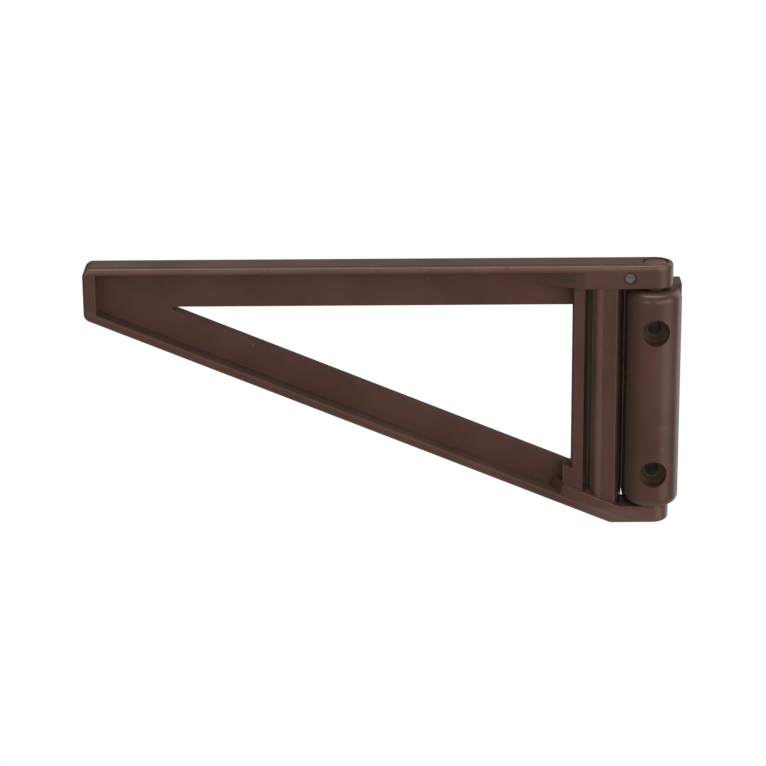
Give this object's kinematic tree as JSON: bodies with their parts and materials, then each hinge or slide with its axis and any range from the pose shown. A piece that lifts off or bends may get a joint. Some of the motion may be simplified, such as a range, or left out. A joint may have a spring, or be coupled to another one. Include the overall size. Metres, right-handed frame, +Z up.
{
  "type": "folding shelf bracket",
  "caption": "Folding shelf bracket: a triangular moulded arm swings sideways on a wall-screwed hinge block, from flat against the wall to square out under a shelf or flap.",
  "frame": {"origin": "on the wall plane, behind the hinge axis, level with the middle of the hinge block's height", "axes": "+X along the wall, away from the folded arm's free end; +Y into the wall; +Z up"},
  "size_m": [0.1999, 0.022, 0.0911],
  "materials": {
    "brown_plastic": "dark reddish brown moulded plastic, satin",
    "steel": "plain cut end"
  },
  "bodies": {
    "wall_side": {"hinge_block": "brown_plastic", "upper_pivot_pin": "brown_plastic", "lower_pivot_pin": "brown_plastic"},
    "arm": {"arm": "brown_plastic", "cross_pin": "steel"}
  },
  "joints": [
    {"name": "arm_swing", "type": "hinge", "parent": "wall_side", "child": "arm", "pos_m": [0, -0.012, 0], "axis": [0, 0, 1], "range_deg": [0, 180]}
  ]
}
